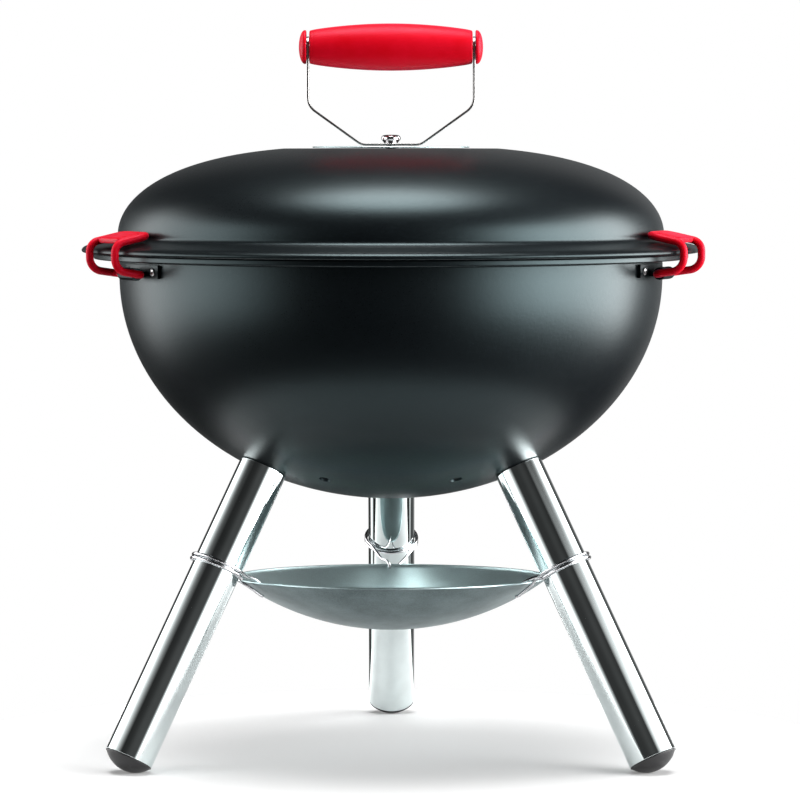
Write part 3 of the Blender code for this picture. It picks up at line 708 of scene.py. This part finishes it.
@dataclass
class Lid:
    """The domed lid with its sloping flange, folded hem, vents and centre bolt."""

    finishes: Finishes
    radius: float = 181 * MM
    rise: float = 59 * MM
    foot_z: float = 345 * MM
    power: float = 2.9
    sheet: float = 1.2 * MM
    land_z: float = 402 * MM
    flange_r: float = 205 * MM
    flange_low: float = 333.6 * MM
    vent_circle: float = 32.6 * MM
    vent_r: float = 6 * MM
    vents: int = 4
    segments: int = 288

    def dome(self, inset: float, steps: int = 110) -> np.ndarray:
        """Points r = R sin(a)^(2/power), z = foot + rise cos(a), from the flat top to the foot."""
        first = np.arccos((self.land_z - self.foot_z) / self.rise)
        a = np.linspace(first, np.pi / 2, steps)
        return np.stack([(self.radius - inset) * np.sin(a) ** (2 / self.power),
                         self.foot_z + (self.rise - inset) * np.cos(a)], axis=1)

    def profile(self) -> np.ndarray:
        """The section from the top's outside, round the flange and hem, to the inside."""
        r, out, low = self.radius, self.flange_r, self.flange_low
        crease = bend((r, self.foot_z), (r + 0.4 * MM, 342.4 * MM), (r + 4 * MM, 341.4 * MM))[1:]
        edge = bend((out - 8 * MM, 339.1 * MM), (out - 0.6 * MM, 338.1 * MM),
                    (out - 0.1 * MM, 335.2 * MM), 12)
        tuck = bend((out - 0.1 * MM, 335.1 * MM), (out - 0.3 * MM, low), (out - 2.2 * MM, low))
        hem = np.array([(186.6 * MM, low), (186 * MM, low + 0.6 * MM), (186.6 * MM, low + self.sheet),
                        (199 * MM, low + self.sheet), (199.6 * MM, 336.9 * MM),
                        (r - 0.3 * MM, 340.8 * MM)])
        outer = np.concatenate([[(0, self.land_z), (50 * MM, self.land_z)], self.dome(0)])
        inner = np.concatenate([self.dome(self.sheet)[::-1],
                                [(50 * MM, self.land_z - self.sheet), (0, self.land_z - self.sheet)]])
        return np.concatenate([outer, crease, edge, tuck, hem, inner])

    def vent_cutters(self, height: float) -> list:
        """Round cutters on the vent circle, for the lid or for the disc."""
        reach = 6 * MM
        drill = np.array([(0, height - reach), (self.vent_r, height - reach),
                          (self.vent_r, height + reach), (0, height + reach)])
        return [turned(drill, 40).moved(around(360 * k / self.vents) @ shifted(self.vent_circle, 0, 0))
                .to_object(f"vent_cutter_{k}") for k in range(self.vents)]

    def build(self) -> None:
        """Turn the lid, pierce its vents and dress it with its bolt."""
        lid = turned(self.profile(), self.segments).to_object("kettle_lid")
        pierced(lid, self.vent_cutters(self.land_z))
        fit(lid, self.finishes.enamel, "black_enamel", "lid", "lid_shell")
        self.build_bolt()
        for node in ("lid_washer", "lid_nut"):
            redress(node, self.finishes.fastener)

    def build_bolt(self) -> None:
        """The domed bolt that the handle turns on, with a tapered seat and a slim shoulder."""
        low, high = (corner[2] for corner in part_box("lid_bolt"))
        head_r = 6.5 * MM
        seat = high - 5.6 * MM
        shank = np.array([(0, low), (2.7 * MM, low), (3 * MM, low + 0.4 * MM), (3 * MM, seat),
                          (4.4 * MM, seat), (5.9 * MM, seat + 1.9 * MM)])
        waist = bend((5.9 * MM, seat + 1.9 * MM), (head_r, seat + 2.2 * MM), (head_r, seat + 2.7 * MM))
        crown = bend((head_r, seat + 3.3 * MM), (head_r - 0.2 * MM, high - 0.1 * MM),
                     (3.2 * MM, high - 0.05 * MM), 12)
        dimple = bend((2 * MM, high), (1 * MM, high - 0.5 * MM), (0, high - 0.6 * MM), 6)
        bolt = turned(np.concatenate([shank, waist[1:], crown, dimple]), 64).to_object("handle_bolt")
        fit(bolt, self.finishes.bolt_chrome, "bolt_chrome", "lid", "lid_bolt")


@dataclass
class Handle:
    """The vent disc, the bent band and the silicone grip, which turn together."""

    finishes: Finishes
    lid: Lid
    disc_r: float = 52 * MM
    band_sheet: float = 1.4 * MM
    band_width: float = 14 * MM
    band_foot: float = 19.6 * MM
    band_half: float = 55 * MM
    bend_z: float = 430 * MM
    grip_z: float = 469 * MM
    grip_mid_r: float = 15.6 * MM
    grip_end_r: float = 11.2 * MM
    cap_end: float = 61 * MM
    bore_r: float = 2.8 * MM

    def build(self) -> None:
        """Build and dress the four pieces and the rod."""
        self.build_disc()
        self.build_band()
        self.build_grip()
        redress("grip_rod", self.finishes.fastener)

    def build_disc(self) -> None:
        """A flat disc with a softened edge and the vents' openings."""
        low, high = (corner[2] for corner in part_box("vent_disc"))
        rim = arc((self.disc_r - 0.5 * MM, (low + high) / 2), 0.5 * MM, -80, 80, 7)
        profile = np.concatenate([[(0, low), (20 * MM, low), (40 * MM, low)], rim,
                                  [(40 * MM, high), (20 * MM, high), (0, high)]])
        disc = turned(profile, 160).to_object("vent_damper")
        pierced(disc, self.lid.vent_cutters(low))
        fit(disc, self.finishes.vent, "dish_aluminium", "handle", "vent_disc")

    def build_band(self) -> None:
        """The band's middle line, bent up from the disc, with a rounded strip section."""
        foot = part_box("handle_band")[0][2] + self.band_sheet / 2
        end_r = self.band_width / 2
        flat = np.array([(0.0, foot), (self.band_foot - 3 * MM, foot)])
        slope = np.array([self.band_half - self.band_foot, self.bend_z - foot])
        slope /= np.linalg.norm(slope)
        low = np.array([self.band_foot, foot])
        high = np.array([self.band_half, self.bend_z])
        first = bend(low - (3 * MM, 0), low, low + slope * 3 * MM, 8)[1:]
        second = bend(high - slope * 6 * MM, high, high + (0, 6 * MM), 10)
        rise = end_r * np.sin(np.radians(np.linspace(0, 86, 16)))
        top = np.stack([np.full(16, self.band_half), self.grip_z + rise], axis=1)
        half = np.concatenate([flat, first, second, top])
        line = np.concatenate([half[:0:-1] * (-1, 1), half])
        path = np.stack([line[:, 0], 0 * line[:, 0], line[:, 1]], axis=1)
        above = np.clip(line[:, 1] - self.grip_z, 0, end_r)
        scale = np.stack([np.ones(len(line)), np.sqrt(1 - (above / end_r) ** 2)], axis=1)
        across = np.stack([-np.gradient(line[:, 1]), 0 * line[:, 0], np.gradient(line[:, 0])], axis=1)
        section = box_section(self.band_sheet / 2, end_r, 0.2 * MM, 4)
        band = lofted(path, section, across, scale=scale).to_object("handle_strap", 50)
        fit(band, self.finishes.steel, "steel", "handle", "handle_band")

    def grip_profile(self) -> np.ndarray:
        """Radius along the barrel: end + (mid - end) cos(s)^0.8, with rounded end lips."""
        half = self.band_half - self.band_sheet / 2 - GAP
        s = np.linspace(-1, 1, 81)
        swell = np.clip(np.cos(np.pi / 2 * s), 0, 1) ** 0.8
        r = self.grip_end_r + (self.grip_mid_r - self.grip_end_r) * swell
        lip = 1.4 * MM
        body = np.stack([r, s * (half - lip)], axis=1)
        left = arc((self.grip_end_r - lip, -half + lip), lip, -90, -6, 7)
        right = arc((self.grip_end_r - lip, half - lip), lip, 6, 90, 7)
        bore = np.array([(self.bore_r, half), (self.bore_r, -half)])
        return np.concatenate([left, body, right, bore])

    def build_grip(self) -> None:
        """The barrel and its two lens-shaped end caps, turned about the grip's axis."""
        axis = shifted(0, 0, self.grip_z) @ leaned(90)
        barrel = turned(self.grip_profile(), 96, closed=True).moved(axis).to_object("grip_sleeve")
        fit(barrel, self.finishes.silicone, "red_silicone", "handle", "grip_barrel")
        low = self.band_half + self.band_sheet / 2 + GAP
        deep = 59.4 * MM
        lens = arc((0, 0), 1, 0, 90, 16) * (self.grip_end_r, self.cap_end - low - 1 * MM)
        lens = lens + (0, low + 1 * MM)
        seat = arc((self.grip_end_r - 0.8 * MM, low + 0.8 * MM), 0.8 * MM, -90, -5, 6)
        profile = np.concatenate([[(0, deep), (self.bore_r, deep), (self.bore_r, low)], seat, lens])
        for side, lean in (("right", 90), ("left", -90)):
            cap = turned(profile, 96).moved(shifted(0, 0, self.grip_z) @ leaned(lean))
            fit(cap.to_object(f"grip_end_{side}"), self.finishes.silicone, "red_silicone",
                "handle", f"grip_cap_{side}")


# ---------------------------------------------------------------------------- stand

@dataclass
class Legs:
    """Three chrome tubes cut to the bowl, with their black foot caps."""

    finishes: Finishes
    bowl: Bowl
    top_r: float = 96.6 * MM
    top_z: float = 193.3 * MM
    splay: float = 28.2
    radius: float = 16 * MM
    wall: float = 1.2 * MM
    length: float = 208.9 * MM
    dome: float = 8.5 * MM

    def matrix(self, side: Side) -> np.ndarray:
        """The frame at a leg's top: Z up the leg's axis."""
        return around(side.value) @ self.leaning()

    def leaning(self) -> np.ndarray:
        """The same frame for a leg whose azimuth is zero."""
        return shifted(self.top_r, 0, self.top_z) @ leaned(-self.splay)

    def reach(self, radius: float, angle: np.ndarray) -> np.ndarray:
        """How far up the tube each line of its wall runs before it meets the bowl.

        A point p + s d on the bowl's ellipse grown by a small gap solves a quadratic in s.
        """
        local = np.stack([radius * np.cos(angle), radius * np.sin(angle), 0 * angle], axis=1)
        lean = self.leaning()
        start = local @ lean[:3, :3].T + lean[:3, 3] - (0, 0, self.bowl.wall_z)
        axis = lean[:3, 2]
        scale = 1 / np.array([self.bowl.radius + GAP, self.bowl.radius + GAP, self.bowl.depth + GAP])
        p, d = start * scale, axis * scale
        a, b, c = d @ d, 2 * p @ d, np.einsum("ij,ij->i", p, p) - 1
        return (-b - np.sqrt(b * b - 4 * a * c)) / (2 * a)

    def tube(self) -> Surface:
        """The tube's wall: outer wall, top rim along the bowl, inner wall, bottom rim."""
        angle = np.arange(144) * TAU / 144
        inner = self.radius - self.wall
        bevel = 0.35 * MM
        top_out, top_in = self.reach(self.radius, angle), self.reach(inner, angle)
        low = 0 * angle - self.length
        rows = [(self.radius, low + bevel), (self.radius, low * 0.5), (self.radius, top_out - bevel),
                (self.radius - bevel, top_out), (inner, top_in), (inner, low),
                (self.radius - bevel, low)]
        grid = np.stack([np.stack([r * np.cos(angle), r * np.sin(angle), z], axis=1)
                         for r, z in rows])
        return woven(grid, wrap_rows=True)

    def foot(self) -> np.ndarray:
        """The cap's section: a spherical dome, a rounded shoulder and a plug in the tube."""
        sphere = (self.radius ** 2 + self.dome ** 2) / (2 * self.dome)
        centre = -self.length - self.dome + sphere
        widest = np.degrees(np.arcsin((self.radius - 0.5 * MM) / sphere))
        dome = arc((0, centre), sphere, -90, -90 + widest, 40)
        shoulder = bend(dome[-1], (self.radius, -self.length - 1.2 * MM),
                        (self.radius - 0.1 * MM, -self.length - 0.3 * MM), 6)[1:]
        plug = np.array([(14.4 * MM, -self.length - 0.3 * MM), (14.4 * MM, -self.length + 13 * MM),
                         (0, -self.length + 13 * MM)])
        return np.concatenate([dome, shoulder, plug])

    def build(self) -> None:
        """Build and dress each leg, its cap and its hidden hardware."""
        for side in Side:
            name = side.name.lower()
            place = self.matrix(side)
            leg = self.tube().moved(place).to_object(f"chrome_leg_{name}")
            fit(leg, self.finishes.leg_chrome, "leg_chrome", "base", f"leg_tube_{name}")
            foot = turned(self.foot(), 96).moved(place)
            foot.points[:, 2] = np.maximum(foot.points[:, 2], 0)
            fit(foot.to_object(f"foot_{name}"), self.finishes.plastic, "foot_plastic", "base",
                f"foot_cap_{name}")
            for node in ("leg_plug", "leg_bolt", "leg_washer"):
                redress(f"{node}_{name}", self.finishes.fastener)


@dataclass
class AshDish:
    """The spun dish, hanging a little low at the back, and the three wires that hold it."""

    finishes: Finishes
    legs: Legs
    radius: float = 104 * MM
    sphere: float = 176 * MM
    low: float = 82 * MM
    sheet: float = 1 * MM
    sag: float = 1.5
    rim_z: float = 117.4 * MM
    wire_r: float = 1 * MM
    coil_z: float = -71.8 * MM
    coil_end: float = 127.6
    pitch: float = 2.7 * MM
    under: np.ndarray = field(default_factory=lambda: MM * np.array(
        [(95.6, -2.6, 107.6), (97.2, -1.4, 107.9), (100.2, -1.7, 110), (104.3, -2.4, 113),
         (108.5, -4.2, 115.9), (114, -8.2, 119.6)]))
    over: np.ndarray = field(default_factory=lambda: MM * np.array(
        [(112.5, 7.5, 121.7), (106, 3.4, 119.9), (101.7, 1.6, 117.8), (98.3, 0.9, 115.4)]))

    def shell(self) -> np.ndarray:
        """Two arcs of one sphere joined by a small rolled bead."""
        centre = self.low + self.sphere
        widest = np.degrees(np.arcsin(self.radius / self.sphere))
        outer = arc((0, centre), self.sphere, -90, -90 + widest, 60)
        inner = arc((0, centre), self.sphere - self.sheet, -90, -90 + widest, 60)[::-1]
        rim = outer[-1] + (-0.15 * MM, 0.75 * MM)
        bead = arc(rim, 0.9 * MM, -55, 165, 16)
        return np.concatenate([outer[:-1], bead, inner[1:]])

    def hung(self) -> np.ndarray:
        """The turn about X, at the rim's height, that drops the back edge."""
        a = np.radians(-self.sag)
        turn = np.eye(4)
        turn[1:3, 1:3] = [[np.cos(a), -np.sin(a)], [np.sin(a), np.cos(a)]]
        return shifted(0, 0, self.rim_z) @ turn @ shifted(0, 0, -self.rim_z)

    def wire(self, side: Side) -> Surface:
        """A helix round the leg whose two ends run to one place on the dish's edge."""
        turn_r = self.legs.radius + self.wire_r + 0.75 * MM
        a = np.radians(np.linspace(-self.coil_end, 360 + self.coil_end, 97))
        coil = np.stack([turn_r * np.cos(a), turn_r * np.sin(a),
                         self.coil_z + self.pitch * (a - np.pi) / TAU], axis=1)
        lean = self.legs.matrix(side)
        coil = coil @ lean[:3, :3].T + lean[:3, 3]
        seat = self.hung() @ around(side.value)
        under = self.under @ seat[:3, :3].T + seat[:3, 3]
        over = self.over @ seat[:3, :3].T + seat[:3, 3]
        start = through(np.concatenate([under, coil[:1]]), 8)[:-1]
        end = through(np.concatenate([coil[-1:], over]), 8)[1:]
        return lofted(np.concatenate([start, coil, end]), circle(self.wire_r, 14), lean[:3, 2])

    def build(self) -> None:
        """Build and dress the dish and its wires."""
        dish = turned(self.shell(), 240).moved(self.hung()).to_object("ash_bowl")
        fit(dish, self.finishes.aluminium, "dish_aluminium", "base", "ash_dish")
        for side in Side:
            name = side.name.lower()
            wire = self.wire(side).to_object(f"dish_spring_{name}", 60)
            fit(wire, self.finishes.wire, "spring_wire", "base", f"dish_clip_{name}")


# ---------------------------------------------------------------------------- rim clips

@dataclass
class RimClips:
    """Two silicone-coated wire loops with thumb pads, hinged under the rim."""

    finishes: Finishes
    wire_r: float = 2.5 * MM
    half: float = 20.4 * MM
    pivot_r: float = 189 * MM
    pivot_z: float = 321.4 * MM
    outer_r: float = 208.2 * MM
    low_z: float = 324.2 * MM
    shoulder_z: float = 341.3 * MM
    inner_r: float = 185 * MM
    top_z: float = 346.3 * MM
    pad_reach: float = 20 * MM
    pad_half: float = 2.4 * MM
    pad_rise: float = 0.9 * MM
    groove: float = 0.35 * MM
    groove_pitch: float = 4.2 * MM

    def loop(self) -> Surface:
        """One closed wire: along the hinge, out, up, in over the flange and across."""
        side = np.array([(self.pivot_r, self.pivot_z), (self.outer_r, self.low_z),
                         (self.outer_r, self.shoulder_z), (self.inner_r, self.top_z)])
        there = np.insert(side, 1, self.half, axis=1)
        back = np.insert(side[::-1], 1, -self.half, axis=1)
        radii = MM * np.array([4.5, 9, 7, 6, 6, 7, 9, 4.5])
        path = rounded_corners(np.concatenate([there, back]), radii, 14)
        spread = np.concatenate([path, path[:1]])
        long = np.linalg.norm(np.diff(spread, axis=0), axis=1)
        where = np.concatenate([[0], np.cumsum(long)])
        even = np.linspace(0, where[-1], 240, endpoint=False)
        path = np.stack([np.interp(even, where, spread[:, k]) for k in range(3)], axis=1)
        centre = np.array([self.pivot_r + 6 * MM, 0, 334 * MM])
        return lofted(path, circle(self.wire_r, 20), centre - path, closed=True)

    def pad(self) -> Surface:
        """A thumb pad: a squarish ellipsoid whose top is crowned and crossed by soft ridges."""
        slope = np.degrees(np.arctan2(self.top_z - self.shoulder_z, self.outer_r - self.inner_r))
        near, far = self.wire_r + GAP, self.pad_reach
        long, wide, thick = (far - near) / 2, self.half - self.wire_r - GAP, self.pad_half
        u = np.arange(160) * TAU / 160
        v = np.linspace(-np.pi / 2, np.pi / 2, 61)[1:-1, None]

        def power(value: np.ndarray, exponent: float) -> np.ndarray:
            """A power that keeps the sign of its base."""
            return np.sign(value) * np.abs(value) ** exponent

        flat = power(np.cos(v), 0.35)
        x = long * flat * power(np.cos(u), 0.45)
        y = wide * flat * power(np.sin(u), 0.3)
        z = thick * power(np.sin(v), 0.6) + 0 * u
        inside = np.clip(1.25 - (x / long) ** 2 - (y / wide) ** 4, 0, 1) * (z > 0)
        z = z - self.groove * inside * (1 + np.cos(TAU * x / self.groove_pitch)) / 2
        grid = np.stack([x, y, z], axis=2)
        poles = ((0, 0, -thick), (0, 0, thick - self.groove))
        middle = shifted(self.inner_r, 0, self.top_z) @ leaned(slope)
        middle = middle @ shifted((near + far) / 2, 0, self.pad_rise)
        return woven(grid, wrap_rows=False, caps=poles).moved(middle)

    def build(self) -> None:
        """Build and dress both clips and finish their brackets."""
        red = self.finishes.silicone
        for clip in ClipSide:
            name = clip.name.lower()
            turn = around(clip.value)
            loop = self.loop().moved(turn).to_object(f"clip_wire_{name}", 60)
            fit(loop, red, "red_silicone", f"clip_{name}", f"clip_loop_{name}")
            pad = self.pad().moved(turn).to_object(f"thumb_pad_{name}", 60)
            fit(pad, red, "red_silicone", f"clip_{name}", f"clip_pad_{name}")
            redress(f"clip_bracket_{name}", self.finishes.enamel)
            for end in ("a", "b"):
                redress(f"clip_rivet_{name}_{end}", self.finishes.fastener)


# ---------------------------------------------------------------------------- grates

@dataclass
class Grates:
    """The cooking grate and the charcoal grate: a ring, parallel rods and two bars."""

    finishes: Finishes
    ring_r: float = 2.5 * MM
    rod_r: float = 1.9 * MM

    def rod(self, start: Sequence[float], end: Sequence[float]) -> Surface:
        """A straight bar with softly rounded ends."""
        s = np.array([0, 0.002, 0.006, 0.02, 0.5, 0.98, 0.994, 0.998, 1])
        path = np.array(start) + s[:, None] * (np.array(end) - np.array(start))
        swell = np.array([0.5, 0.8, 0.95, 1, 1, 1, 0.95, 0.8, 0.5])
        return lofted(path, circle(self.rod_r, 12), np.array([0, 0, 1.0]),
                      scale=np.stack([swell, swell], axis=1))

    def grate(self, radius: float, height: float, pitch: float, bar_y: float) -> Surface:
        """Rods at even steps across a ring, each as long as the ring is wide there."""
        a = np.arange(200) * TAU / 200
        loop = np.stack([radius * np.cos(a), radius * np.sin(a), 0 * a + height], axis=1)
        parts = [lofted(loop, circle(self.ring_r, 14), np.array([0, 0, 1.0]), closed=True)]
        count = int(radius / pitch)
        for x in pitch * np.arange(-count, count + 1):
            reach = np.sqrt(radius ** 2 - x ** 2)
            parts.append(self.rod((x, -reach, height + 0.8 * MM), (x, reach, height + 0.8 * MM)))
        for y in (-bar_y, bar_y):
            reach = np.sqrt(radius ** 2 - y ** 2)
            parts.append(self.rod((-reach, y, height - 0.4 * MM), (reach, y, height - 0.4 * MM)))
        return joined(parts)

    def build(self) -> None:
        """Build and dress both grates and the brackets that carry the upper one."""
        cook = self.grate(170 * MM, 311.3 * MM, 21 * MM, 75 * MM).to_object("food_grate", 50)
        fit(cook, self.finishes.grate, "grate_wire", "cooking_grate", "cooking_grate")
        coal = self.grate(121 * MM, 214 * MM, 27 * MM, 55 * MM).to_object("coal_grate", 50)
        fit(coal, self.finishes.grate, "grate_wire", "base", "charcoal_grate")
        for side in ("front", "left", "right"):
            redress(f"grate_bracket_{side}", self.finishes.fastener)


# ---------------------------------------------------------------------------- studio

@dataclass
class Studio:
    """A pale floor, a sky that lights the sides and the top, and the camera."""

    distance: float = 2.809
    height: float = 0.407
    aside: float = 0.006
    pitch: float = 3.506
    lens: float = 190.3
    table_r: float = 0.31
    table_shade: float = 0.62
    table_glow: tuple = (0.12, 0.5)
    sky_turn: float = 6.0
    wall_gain: float = 11.0
    wall_foot: tuple = (-0.42, -0.2)
    lean: tuple = (0.4, 1.1)
    lean_span: tuple = (-0.3, 0.3)
    fill: float = 0.02
    top_gain: float = 15.0
    wall_top: tuple = (0.35, 0.62)
    top_from: tuple = (0.92, 0.985)
    walls: tuple = ((0, 0.004), (32, 0.004), (78, 1.0), (118, 1.0), (134, 0.006), (152, 0.006),
                    (168, 0.03), (180, 0.03))

    def build(self) -> None:
        """Set the floor, the light and the camera."""
        self.build_floor()
        self.build_sky()
        self.build_camera()
        bpy.context.scene.view_settings.view_transform = "Standard"

    def build_floor(self) -> None:
        """A round pale table just under the feet, with a faint painted glow that grows towards its
        edge.
        """
        edge, top, low = self.table_r, -0.0004, -0.012
        profile = np.array([(0, low), (edge, low), (edge, top), (0, top)])
        floor = turned(profile, 192).to_object("studio_table")
        tree = Tree("studio_table")
        cloud = tree.noise(tree.where.outputs["Object"], 3, 2.0, 0.5)
        pale = self.table_shade
        tree.feed("Base Color", tree.blended(cloud, (pale,) * 3, (pale * 1.02,) * 3))
        # Painted light: the table glows faintly all over and more near its edge.
        tree.feed("Emission Strength", tree.ramp(tree.radius(), edge - 0.08, edge - 0.01,
                                                 *self.table_glow))
        tree.constant(Roughness=0.9, Emission_Color=(1, 1, 1, 1), Specular_IOR_Level=0.2)
        floor.data.materials.append(tree.material)

    def build_sky(self) -> None:
        """White for the eye; reflections see a tall soft light on each side and one overhead.

        The side lights go by the angle from the front, from 0 to 180 degrees either way.
        """
        world = bpy.data.worlds.new("studio_sky")
        bpy.context.scene.world = world
        world.use_nodes = True
        sky = Nodes(world.node_tree)
        nodes, links = sky.nodes, sky.links
        turn = nodes.new("ShaderNodeMapping")
        turn.inputs["Rotation"].default_value = (0, 0, np.radians(self.sky_turn))
        links.new(sky.where.outputs["Generated"], turn.inputs["Vector"])
        x, y, height = sky.split(turn.outputs["Vector"])
        angle = sky.math("ARCTAN2", sky.math("ABSOLUTE", x, 0), sky.math("MULTIPLY", y, -1))
        walls = nodes.new("ShaderNodeValToRGB")
        walls.color_ramp.interpolation = "EASE"
        for k, (degrees, value) in enumerate(self.walls):
            spot = walls.color_ramp.elements[k] if k < 2 else walls.color_ramp.elements.new(1)
            spot.position = degrees / 180
            spot.color = (value, value, value, 1)
        links.new(sky.math("DIVIDE", angle, np.pi), walls.inputs["Fac"])
        below = sky.ramp(height, *self.wall_foot, 0, 1, smooth=True)
        above = sky.ramp(height, *self.wall_top, 1, 0, smooth=True)
        lean = sky.ramp(x, *self.lean_span, *self.lean, smooth=True)
        sides = sky.math("MULTIPLY", walls.outputs["Color"], sky.math("MULTIPLY", below, above))
        sides = sky.math("MULTIPLY", sky.math("MULTIPLY", sides, lean), self.wall_gain)
        top = sky.ramp(height, *self.top_from, 0, self.top_gain, smooth=True)
        felt = nodes.new("ShaderNodeBackground")
        felt.inputs["Color"].default_value = (1, 1, 1, 1)
        links.new(sky.math("ADD", sky.math("ADD", sides, top), self.fill), felt.inputs["Strength"])
        seen = nodes["Background"]
        seen.inputs["Color"].default_value = (1, 1, 1, 1)
        seen.inputs["Strength"].default_value = 1.0
        rays = nodes.new("ShaderNodeLightPath")
        mix = nodes.new("ShaderNodeMixShader")
        links.new(rays.outputs["Is Camera Ray"], mix.inputs["Fac"])
        links.new(felt.outputs[0], mix.inputs[1])
        links.new(seen.outputs[0], mix.inputs[2])
        links.new(mix.outputs[0], nodes["World Output"].inputs["Surface"])

    def build_camera(self) -> None:
        """A long lens a little above the rim, looking slightly down."""
        data = bpy.data.cameras.new("camera")
        data.lens = self.lens
        data.sensor_width = 36
        item = bpy.data.objects.new("camera", data)
        item.location = (self.aside, -self.distance, self.height)
        item.rotation_euler = (np.radians(90 - self.pitch), 0, 0)
        bpy.context.scene.collection.objects.link(item)
        bpy.context.scene.camera = item


def main() -> None:
    """Build every sub-assembly in order, light it and log each one as it is built."""
    finishes = Finishes()
    bowl = Bowl(finishes)
    lid = Lid(finishes)
    legs = Legs(finishes, bowl)
    Studio().build()
    for part in (bowl, lid, Handle(finishes, lid), legs, AshDish(finishes, legs),
                 RimClips(finishes), Grates(finishes)):
        part.build()
        LOG.info("built %s", type(part).__name__)


if __name__ == "__main__":
    main()
